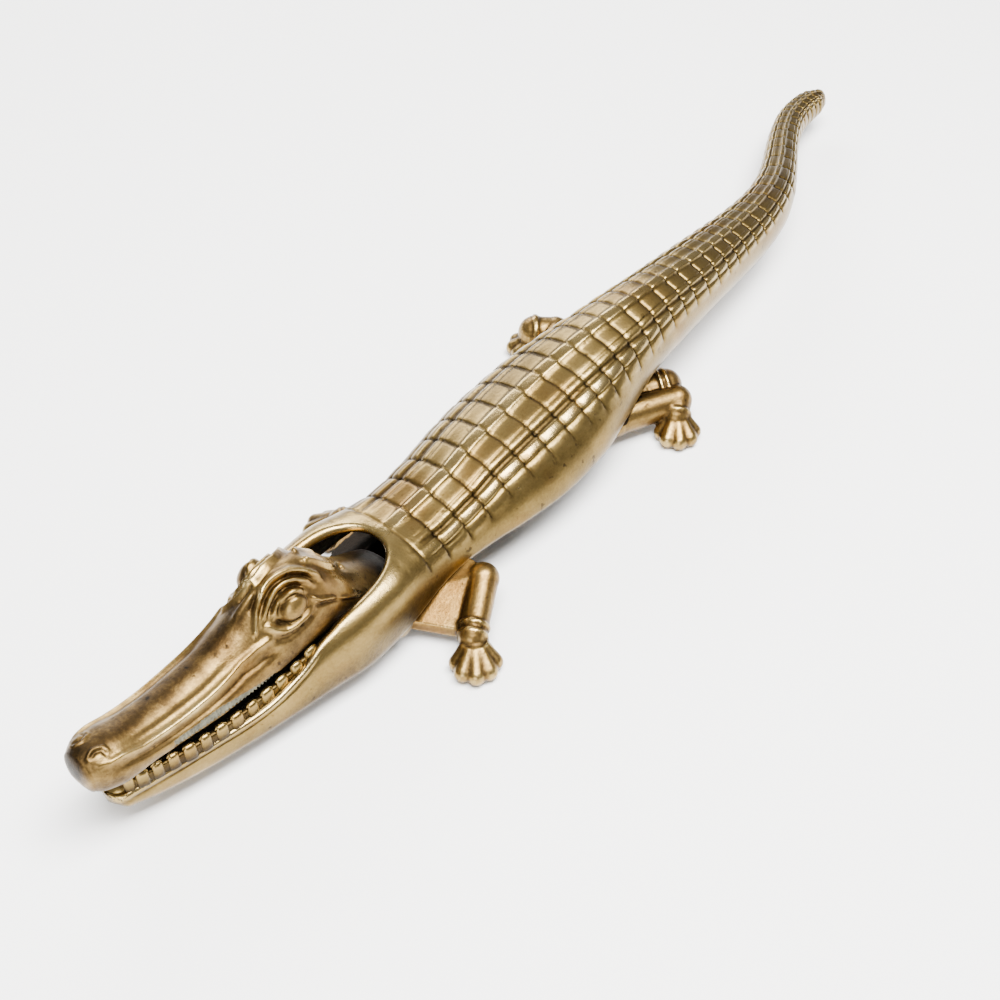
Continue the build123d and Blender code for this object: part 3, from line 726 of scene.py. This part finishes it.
# ridges and creases pressed into the head: height, width, then points as place and arc round from the ridge
headStrokes = [
    (0.8, 0.75, [(-126.5, 0.3), (-123.9, 0.2), (-121.5, 0.2), (-119.5, 0.3), (-117.9, 0.8)]),
    (1.0, 0.5, [(-125.2, 6.2), (-124.0, 4.6), (-122.3, 3.1), (-120.5, 2.1), (-118.6, 1.5)]),
    (-0.6, 0.4, [(-122.8, 1.9), (-120.8, 1.1), (-118.8, 0.6)]),
    (1.5, 0.85, [(-120.6, 2.2), (-119.4, 1.6), (-117, 1.4), (-114.4, 1.8), (-111.2, 2.4), (-108.6, 3.8),
                 (-106.8, 5.6),
                 (-106.1, 7.9)]),
    (-0.9, 0.36, [(-121.8, 4.4), (-119.4, 2.9), (-117, 2.5), (-114.4, 2.9), (-111.7, 3.5), (-109.3, 4.9),
                  (-107.8, 6.8)]),
    (1.3, 0.6, [(-122.6, 5.6), (-120.4, 4.3), (-118.4, 3.7), (-116.7, 3.5), (-114.4, 3.8), (-112.1, 4.5),
                (-109.8, 5.9),
                  (-108.7, 7.7)]),
    (-0.8, 0.3, [(-120.8, 5.8), (-118.6, 4.9), (-116.2, 4.6), (-114.3, 5.0), (-112.2, 5.8), (-110.6, 7.2)]),
    (0.95, 0.42, [(-120.0, 7.0), (-118.8, 6.1), (-117.5, 5.7), (-116, 5.6), (-114.2, 6.0), (-112.4, 6.8),
                  (-111.2, 8.1)]),
    (-0.7, 0.3, [(-118.4, 7.2), (-117.4, 6.7), (-116, 6.5), (-114.4, 6.9), (-112.9, 7.8), (-112.1, 8.9)]),
    (-0.9, 0.45, [(-119.8, 7.6), (-118.9, 9.4), (-117.2, 11.1), (-114.9, 11.9), (-112.6, 11.4)]),
    (0.7, 0.6, [(-123.0, 6.2), (-121.8, 7.2), (-120.7, 9.4), (-118.9, 11.6), (-116.3, 13.1), (-113.4, 13.3),
                (-110.8, 12.3)]),
    (-0.6, 0.7, [(-122.6, 9.2), (-120.8, 11.4), (-118.6, 13.4), (-116, 14.6), (-113.4, 14.7), (-111, 13.6)]),
    (0.85, 0.45, [(-110.5, 9.9), (-108.7, 11.5), (-106.2, 12.1), (-104.6, 12.0)]),
    (-0.5, 0.4, [(-110.6, 12.4), (-108.6, 12.9), (-106.0, 13.2), (-104.4, 12.9)]),
    (0.6, 0.35, [(-103.5, 12.1), (-100.1, 11.4), (-96.7, 10.5)]),
    (-0.35, 0.3, [(-103.5, 12.9), (-100.1, 12.2), (-97, 11.3)]),
    (0.65, 0.7, [(-166.6, 5.1), (-164.8, 5.7), (-157.2, 6.5), (-148.7, 6.8), (-139.8, 7.1), (-134, 7.0),
                 (-130.5, 6.9),
                 (-126.3, 7.7), (-123.4, 9.0), (-120.8, 11.2)]),
    (-0.3, 0.9, [(-160, 4.6), (-148, 4.9), (-139.8, 5.2), (-132, 4.9)]),
    (-0.6, 0.85, [(-165, 7.9), (-157, 8.5), (-148.7, 8.7), (-140, 9.1), (-131, 9.3), (-125.8, 10.9),
                  (-121.8, 13.6)]),
    (0.3, 0.3, [(-163.2, 4.4), (-163.5, 2.2), (-165.6, 1.4), (-167.6, 2.2), (-167.9, 4.0)]),
    (-0.35, 0.35, [(-164.2, 4.4), (-164.4, 2.8), (-165.8, 2.3), (-167.0, 2.9)]),
    (1.2, 0.85, [(-106.5, 1.6), (-105.0, 2.0), (-102.1, 2.8), (-99.0, 2.8)]),
    (-1.0, 0.5, [(-97.6, 3.4), (-96.9, 2.6), (-96.6, 1.6)]),
]
# nostril and eye: place, arc from the ridge, radius, height
headBumps = [(-165.6, 3.4, 2.2, 0.3), (-115.0, 8.7, 3.4, 2.5)]
# tone, minus darker, plus lighter: amount, where it fades in and out along the head, and in and out round it
# from the ridge
headShades = {
    # painted shade where the neck goes into the back
    "neckInTheBack": (-1.1, (-91.5, -85), None, None, None),
    # darker towards the tip of the nose
    "noseTip": (-0.3, (-160, -168), None, None, None),
    # painted highlight on the top of the neck
    "neckHighlight": (0.55, (-104.5, -101), (-94, -90), None, (10, 13)),
    # painted shade along the top of the snout
    "snoutRidge": (-0.5, None, (-126, -120), None, (1.0, 4.5)),
    # darker low on the side of the rear of the head
    "cheek": (-0.35, (-127, -122), None, (13.5, 17), None),
}
# painted highlight in a band along the upper side of the snout
snoutShine = {"amount": 0.3, "arc": 6.5, "width": 2.0, "fadeOut": (-138, -128)}
# ribbed grey-green strip under the upper lip
headStrip = {"from": -151, "to": -122, "pitch": 0.95, "depth": 0.22, "drop": 0.35, "above": 0.3, "below": 2.4}
headEdge = easedCurve([(-168, 9.6), (-150, 10.2), (-140, 10.8), (-135, 12.0), (-130, 14.0), (-125, 16.5),
                       (-122, 20.0)])
headSections = {}


def headSection(x):
    key = round(x, 3)
    if key not in headSections:
        half, top, middle, bottom, full = [curve(x) for curve in headCurves]
        for start, end in ((head["tipFrom"], head["tip"][0]), (head["neckFrom"], head["neck"][1])):
            part = (x - start) / (end - start)
            if part > 0:
                shrink = sqrt(max(1 - min(part, 1.0) ** 2, 0.0))
                half, top, middle, bottom, full = [curve(start) for curve in headCurves]
                centre = (top + bottom) / 2
                top, middle, bottom = [centre + (z - centre) * shrink for z in (top, middle, bottom)]
                half *= shrink
        ring = (half, top, middle, bottom, full, head["hip"])
        headSections[key] = (ring, ringArcs(ring))
    return headSections[key]


def headPlace(share):
    fromTip, toNeck = head["endShares"]
    if share < fromTip:
        return mix(*head["tip"], 1 - cos(share / fromTip * pi / 2))
    if share > toNeck:
        return mix(*head["neck"], sin((share - toNeck) / (1 - toNeck) * pi / 2))
    return mix(head["tip"][1], head["neck"][0], (share - fromTip) / (toNeck - fromTip))


def strokeLift(x, arc, strokes):
    # lift and colour of the ridges and creases near a point: the creases darker, brown patina and painted
    # shade, the ridges lighter, a painted highlight; each fades towards its two ends
    lift, patinaAndPaintedLight = 0.0, 0.0
    for height, width, points in strokes:
        if not (min(p[0] for p in points) - 3 * width < x < max(p[0] for p in points) + 3 * width):
            continue
        gap, where = 99.0, 0.0
        for index, (a, b) in enumerate(zip(points[:-1], points[1:])):
            d, t = segmentGap(x, arc, a, b)
            if d < gap:
                gap, where = d, (index + t) / (len(points) - 1)
        amount = height * bell(gap, 0, width) * (0.25 + 0.75 * between(where, (0, 0.15), (0.85, 1.0)))
        lift += amount
        patinaAndPaintedLight += amount * (0.8 if height < 0 else 0.42) * min(1.0, 0.6 / width)
    return lift, patinaAndPaintedLight


def headRelief(x, arc, side):
    lift, patinaAndPaintedLight = strokeLift(x, arc, headStrokes)
    for place, bumpArc, radius, height in headBumps:
        gap = hypot(x - place, arc - bumpArc) / radius
        if gap < 1:
            lift += height * sqrt(1 - gap * gap)
            # painted highlight: each dome is lighter towards its middle
            patinaAndPaintedLight += 0.35 * (1 - gap)
    lift *= ease(-169.6, -167.5, x)
    # tones from the tables above, painted shade and painted highlights among them
    for amount, alongIn, alongOut, roundIn, roundOut in headShades.values():
        patinaAndPaintedLight += amount * between(x, alongIn, alongOut) * between(arc, roundIn, roundOut)
    patinaAndPaintedLight += (snoutShine["amount"] * bell(arc, snoutShine["arc"], snoutShine["width"])
               * between(x, None, snoutShine["fadeOut"]))
    patinaAndPaintedLight += 0.25 * noise.noise(Vector((x * 0.35, arc * side * 0.35, 2.0)))
    return lift, patinaAndPaintedLight


def buildHead():
    bm = bmesh.new()
    patinaAndPaintedLight = bm.verts.layers.float.new("patinaAndPaintedLight")
    skin = bm.verts.layers.float.new("skin")
    for side in (-1, 1):
        grid = bmesh.ops.create_grid(bm, x_segments=head["columns"], y_segments=head["lines"], size=1)
        for v in grid["verts"]:
            i, j = gridIndex(v, head["columns"], head["lines"])
            x = headPlace(i / head["columns"])
            ring, arcs = headSection(x)
            arc = j / head["lines"] * arcs[-1]
            lift, v[patinaAndPaintedLight] = headRelief(x, arc, side)
            if (headStrip["from"] < x < headStrip["to"]
                    and headEdge(x) - headStrip["above"] < arc < headEdge(x) + headStrip["below"]):
                lift += headStrip["depth"] * sin(2 * pi * x / headStrip["pitch"]) - headStrip["drop"]
                v[skin] = 1.0
            part = shareOf(arcs, arc)
            w, z = ringPoint(*ring, part)
            ahead, behind = [ringPoint(*ring, min(max(part + d, 0.0), 1.0)) for d in (0.004, -0.004)]
            along = Vector((ahead[0] - behind[0], ahead[1] - behind[1]))
            out = Vector((-along.y, along.x)).normalized() if along.length > 1e-6 else Vector((0, 1))
            onMiddle = j in (0, head["lines"])
            if onMiddle:
                out = Vector((0, 1 if j == 0 else -1))
            if i in (0, head["columns"]):
                out = Vector((0, 0))
            v.co = Vector((x, 0.0 if onMiddle else side * max(w + out.x * lift, 0.0), z + out.y * lift))
    bmesh.ops.remove_doubles(bm, verts=bm.verts, dist=0.01)
    bmesh.ops.recalc_face_normals(bm, faces=bm.faces)
    for face in bm.faces:
        face.material_index = 1 if all(v[skin] > 0.5 for v in face.verts) else 0
    print("head open edges", openEdges(bm))
    return bm


skull = newPiece("skullAndNeck", buildHead(), "head_and_legs", [brownedBrass, castSkin])
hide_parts("head_leg_lever")

# crushing pad under the upper jaw

pad = {"from": -149.6, "to": -119.0, "half": 4.2, "low": 13.45, "high": 19.0, "ribs": 11, "notch": 1.3,
       "edge": 0.35}


def buildPad():
    bm = bmesh.new()
    patinaAndPaintedLight = bm.verts.layers.float.new("patinaAndPaintedLight")
    bmesh.ops.create_cube(bm, size=1)
    lengthwise = [e for e in bm.edges if abs(e.verts[0].co.x - e.verts[1].co.x) > 0.5]
    bmesh.ops.subdivide_edges(bm, edges=lengthwise, cuts=4 * pad["ribs"] - 1, use_grid_fill=True)
    for v in bm.verts:
        share = v.co.x + 0.5
        wave = abs(2 * ((share * pad["ribs"]) % 1) - 1)      # 1 in the notches, 0 on the ribs
        below = v.co.z < 0
        height = pad["low"] + pad["notch"] * wave if below else pad["high"]
        v[patinaAndPaintedLight] = -0.9 * wave if below else 0.0
        v.co = Vector((mix(pad["from"], pad["to"], share), 2 * pad["half"] * v.co.y, height))
    sides = [e for e in bm.edges if abs(e.verts[0].co.y) > 4 and e.verts[0].co.y * e.verts[1].co.y > 0
             and max(v.co.z for v in e.verts) < 16]
    bevelEdges(bm, sides, pad["edge"], 2)
    bmesh.ops.recalc_face_normals(bm, faces=bm.faces)
    return bm


padPiece = newPiece("crushingPad", buildPad(), "head_and_legs", [castSkin], smooth=False)
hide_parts("head_leg_lever")

# legs and belly bar

limb = {"voxel": 0.40, "smooth": 3, "knuckle": 1.05, "creases": (0.84, 0.99), "creaseHalf": 0.03,
        "creaseSwell": 1.15,
        "shading": 16, "shadeMost": 0.8}
# stations down each leg: the three coordinates and the radius
legs = {
    "nearFront": [(-80.75, -8.5, 4.5, 3.26), (-73.4, -15.0, 5.6, 3.5), (-68.9, -20.3, 9.45, 3.8),
                  (-81.6, -27.9, 5.8, 3.3)],
    "farFront": [(-80.75, 8.5, 4.5, 3.26), (-68.3, 16.2, 5.9, 3.5), (-74.5, 21.1, 5.4, 3.4)],
    "nearRear": [(-1.7, -8.5, 6.7, 4.66), (14.6, -17.0, 7.2, 4.05), (11.2, -19.4, 5.4, 3.6)],
    "farRear": [(-1.7, 8.5, 7.2, 4.4), (17.0, 26.2, 7.2, 3.9), (13.1, 30.6, 6.8, 4.5)],
    "nearRump": [(6.8, -5.0, 6.9, 4.2), (16.6, -11.6, 8.0, 4.5)],
    "farRump": [(6.8, 5.0, 6.9, 4.2), (16.6, 11.6, 8.0, 4.5)],
}
# middle of each foot and its heading
feet = [(-83.8, -30.6, 226), (-75.8, 22.95, 136), (10.2, -20.6, 226), (12.1, 30.2, 136)]
toes = {"turns": (-74, -37, -3, 31, 68), "reach": (4.3, 5.3, 5.5, 5.1, 4.4), "radius": 2.25, "height": 2.35,
        "rootBack": 1.4, "rootOut": 1.8, "rootHeight": 5.7, "rootRadius": 1.6}
palm = {"radius": 5.0, "height": 2.0}
hub = {"x": -90.95, "z": 8.0, "radius": 5.5, "half": 9.5}
bellyBar = {"low": 4.3, "high": 9.3,
            "stations": [(-91, 7.2), (-60, 8.0), (-30, 6.6), (-4, 7.8), (8, 6.0), (14.6, 1.2)]}
# flat panels between shoulder and elbow: corners in plan, then underside and top
panels = [
    [(-87.7, -6.8, 3.6, 8.2), (-88.2, -13.6, 3.4, 6.4), (-82.4, -24.8, 3.4, 6.4), (-69.0, -21.2, 5.0, 12.4),
     (-65.5, -6.8, 3.6, 12.5)],
    [(-91.2, 6.8, 3.8, 7.6), (-90.4, 12.6, 3.8, 6.0), (-76.0, 18.5, 3.6, 6.6), (-68.2, 16.0, 4.5, 8.4),
     (-65.5, 6.8, 3.6, 11.0)],
]
# painted shade on the part of the lever inside the back: how far along and, as a share of the back's
# half-width, aside
shadeUnderBack = {"along": (-98, 6), "near": (0.8, 0.86), "far": (0.95, 0.86), "change": (-75, -50), "above": 0.8,
          "tone": -1.1}
# orange-brown on the front panels
panelWarmth = {"amount": 0.25, "alongIn": (-91, -84), "alongOut": (-74, -68), "asideIn": (8, 11),
               "asideOut": (21, 24)}


def addBall(bm, centre, radius):
    made = bmesh.ops.create_uvsphere(bm, u_segments=20, v_segments=12, radius=radius)
    bmesh.ops.translate(bm, vec=centre, verts=made["verts"])


def addTaper(bm, start, end):
    a, b = Vector(start[:3]), Vector(end[:3])
    made = bmesh.ops.create_cone(bm, cap_ends=True, segments=24, radius1=start[3], radius2=end[3],
                                 depth=(b - a).length)
    turn = (b - a).to_track_quat("Z", "Y").to_matrix().to_4x4()
    bmesh.ops.transform(bm, matrix=Matrix.Translation((a + b) / 2) @ turn, verts=made["verts"])


def addRod(bm, radius, half):
    # rod across the body on the hinge's axis
    made = bmesh.ops.create_cone(bm, cap_ends=True, segments=48, radius1=radius, radius2=radius,
                                 depth=2 * half)
    across = Matrix.Translation((hub["x"], 0, hub["z"])) @ Matrix.Rotation(pi / 2, 4, "X")
    bmesh.ops.transform(bm, matrix=across, verts=made["verts"])


def addFoot(bm, x, y, heading):
    addBall(bm, (x, y, palm["height"]), palm["radius"])
    back = Vector((cos(radians(heading)), sin(radians(heading)))) * toes["rootBack"]
    for turn, reach in zip(toes["turns"], toes["reach"]):
        along = Vector((cos(radians(heading + turn)), sin(radians(heading + turn))))
        root = Vector((x, y)) - back + toes["rootOut"] * along
        tip = Vector((x, y)) + reach * along
        addTaper(bm, (*root, toes["rootHeight"], toes["rootRadius"]), (*tip, toes["height"], toes["radius"]))
        addBall(bm, (*tip, toes["height"]), toes["radius"])


def buildLegs():
    # balls and tapers that the remesh below joins into one casting
    bm = bmesh.new()
    for stations in legs.values():
        for start, end in zip(stations[:-1], stations[1:]):
            addTaper(bm, start, end)
        for station in stations:
            addBall(bm, station[:3], limb["knuckle"] * station[3])
        for share in limb["creases"]:
            ring = [[mix(a, b, share + d) for a, b in zip(stations[-2], stations[-1])]
                    for d in (-limb["creaseHalf"], limb["creaseHalf"])]
            addTaper(bm, *[(*place[:3], limb["creaseSwell"] * place[3]) for place in ring])
    for foot in feet:
        addFoot(bm, *foot)
    addRod(bm, hub["radius"], hub["half"])
    barEdge = [(x, -y) for x, y in bellyBar["stations"]] + [(x, y) for x, y in reversed(bellyBar["stations"])]
    face = bm.faces.new([bm.verts.new((x, y, bellyBar["low"])) for x, y in barEdge])
    up = bmesh.ops.extrude_face_region(bm, geom=[face])
    bmesh.ops.translate(bm, vec=(0, 0, bellyBar["high"] - bellyBar["low"]),
                        verts=[v for v in up["geom"] if isinstance(v, bmesh.types.BMVert)])
    for panel in panels:
        corners = [bm.verts.new((x, y, z)) for x, y, low, high in panel for z in (low, high)]
        bmesh.ops.convex_hull(bm, input=corners)
    bmesh.ops.recalc_face_normals(bm, faces=bm.faces)
    return bm


def bakedCopy(piece):
    # leaves the modifiers' result as plain mesh
    shape = bpy.data.meshes.new_from_object(piece.evaluated_get(bpy.context.evaluated_depsgraph_get()))
    piece.modifiers.clear()
    old = piece.data
    piece.data = shape
    bpy.data.meshes.remove(old)


legsPiece = newPiece("legsAndBar", buildLegs(), "head_and_legs", [brownedBrass])
remesh = legsPiece.modifiers.new("remesh", "REMESH")
remesh.mode = "VOXEL"
remesh.voxel_size = limb["voxel"] * mm
soften = legsPiece.modifiers.new("soften", "SMOOTH")
soften.factor = 0.5
soften.iterations = limb["smooth"]
bakedCopy(legsPiece)


def finishLegs(piece):
    # flat soles on the floor, then the tone: brown patina and painted shade in the creases, bright on the
    # rubbed edges
    bm = bmesh.new()
    bm.from_mesh(piece.data)
    patinaAndPaintedLight = bm.verts.layers.float.new("patinaAndPaintedLight")
    warm = bm.verts.layers.float.new("warm")
    cut = bmesh.ops.bisect_plane(bm, geom=bm.verts[:] + bm.edges[:] + bm.faces[:], plane_co=(0, 0, 0.01 * mm),
                                 plane_no=(0, 0, 1), clear_inner=True)
    rims = [e for e in cut["geom_cut"] if isinstance(e, bmesh.types.BMEdge)]
    bmesh.ops.holes_fill(bm, edges=rims)
    bm.normal_update()
    for v in bm.verts:
        bends = [(e.other_vert(v).co - v.co).dot(v.normal) / mm for e in v.link_edges]
        v[patinaAndPaintedLight] = min(max(-sum(bends) / max(len(bends), 1) * limb["shading"], -1.0), limb["shadeMost"])
        x, y, z = v.co.x / mm, abs(v.co.y) / mm, v.co.z / mm
        # painted shade where the lever lies under the back
        half, bottom = backSection(x)["ring"][0], backSection(x)["ring"][3]
        within = mix(*shadeUnderBack["far" if v.co.y > 0 else "near"], ease(*shadeUnderBack["change"], x)) * half
        if shadeUnderBack["along"][0] < x < shadeUnderBack["along"][1] and y < within and z > bottom + shadeUnderBack["above"]:
            v[patinaAndPaintedLight] = shadeUnderBack["tone"]
        v[warm] = (panelWarmth["amount"] * between(x, panelWarmth["alongIn"], panelWarmth["alongOut"])
                   * between(y, panelWarmth["asideIn"], panelWarmth["asideOut"]))
    for face in bm.faces:
        face.smooth = True
    bm.to_mesh(piece.data)
    bm.free()
    print(piece.name, len(piece.data.polygons), "faces")


finishLegs(legsPiece)
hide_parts("head_leg_lever")

# pin

pin = {"radius": 2.6, "half": 15.9, "edge": 0.35, "tone": -0.2}


def buildPin():
    bm = bmesh.new()
    patinaAndPaintedLight = bm.verts.layers.float.new("patinaAndPaintedLight")
    addRod(bm, pin["radius"], pin["half"])
    rims = [e for e in bm.edges if all(abs(abs(v.co.y) - pin["half"]) < 1e-4 for v in e.verts)]
    bevelEdges(bm, rims, pin["edge"], 3)
    for v in bm.verts:
        v[patinaAndPaintedLight] = pin["tone"]
    return bm


pinPiece = newPiece("pivotPin", buildPin(), "back_and_tail", [polishedBrass])
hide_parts("pivot_pin")

# floor, light and camera

studio = {
    "floor": 6.0, "floorTone": "#F4F3F1", "floorRough": 0.9, "world": "#FFFFFF", "worldPower": 0.47,
    # place, width and height in metres, power in watts; each soft box faces the middle of the object
    "lights": {
        "keyBox": ((-0.07, -0.20, 0.84), 0.8, 0.38, 45.0),
        "lowBox": ((-0.8, -0.35, 0.25), 0.3, 0.3, 4.5),
        "backBox": ((0.35, 0.65, 0.40), 0.6, 0.25, 8.0),
    },
}
view = {"place": (-0.247475, -0.175302, 0.271938), "azimuth": -50, "elevation": 45, "lens": 54.0,
        "film": 36.0}


def softLight(name, place, width, height, power):
    lamp = bpy.data.lights.new(name, "AREA")
    lamp.shape = "RECTANGLE"
    lamp.size, lamp.size_y, lamp.energy = width, height, power
    holder = bpy.data.objects.new(name, lamp)
    bpy.context.collection.objects.link(holder)
    holder.location = place
    holder.rotation_euler = (-Vector(place)).to_track_quat("-Z", "Y").to_euler()


bm = bmesh.new()
bmesh.ops.create_grid(bm, x_segments=2, y_segments=2, size=studio["floor"] / 2)
mesh = bpy.data.meshes.new("floor")
bm.to_mesh(mesh)
bm.free()
floor = bpy.data.objects.new("floor", mesh)
bpy.context.collection.objects.link(floor)
# matt paper, pale and without gloss
paper = bpy.data.materials.new("matteBackdropPaper")
paper.use_nodes = True
paperShader = paper.node_tree.nodes["Principled BSDF"]
paperShader.inputs["Base Color"].default_value = linear(studio["floorTone"])
paperShader.inputs["Roughness"].default_value = studio["floorRough"]
mesh.materials.append(paper)

world = bpy.data.worlds.new("studioAir")
world.use_nodes = True
air = world.node_tree.nodes["Background"]
air.inputs["Color"].default_value = linear(studio["world"])
air.inputs["Strength"].default_value = studio["worldPower"]
bpy.context.scene.world = world
for name, settings in studio["lights"].items():
    softLight(name, *settings)

camera = bpy.data.objects.new("camera", bpy.data.cameras.new("camera"))
bpy.context.collection.objects.link(camera)
camera.data.lens = view["lens"]
camera.data.sensor_width = view["film"]
camera.data.clip_start = 0.01
azimuth, elevation = radians(view["azimuth"]), radians(view["elevation"])
back = Vector((sin(azimuth) * cos(elevation), -cos(azimuth) * cos(elevation), sin(elevation)))
right = Vector((cos(azimuth), sin(azimuth), 0))
turn = Matrix((right, back.cross(right), back)).transposed().to_4x4()
camera.matrix_world = Matrix.Translation(view["place"]) @ turn
bpy.context.scene.camera = camera
print("floor, light and camera ready")
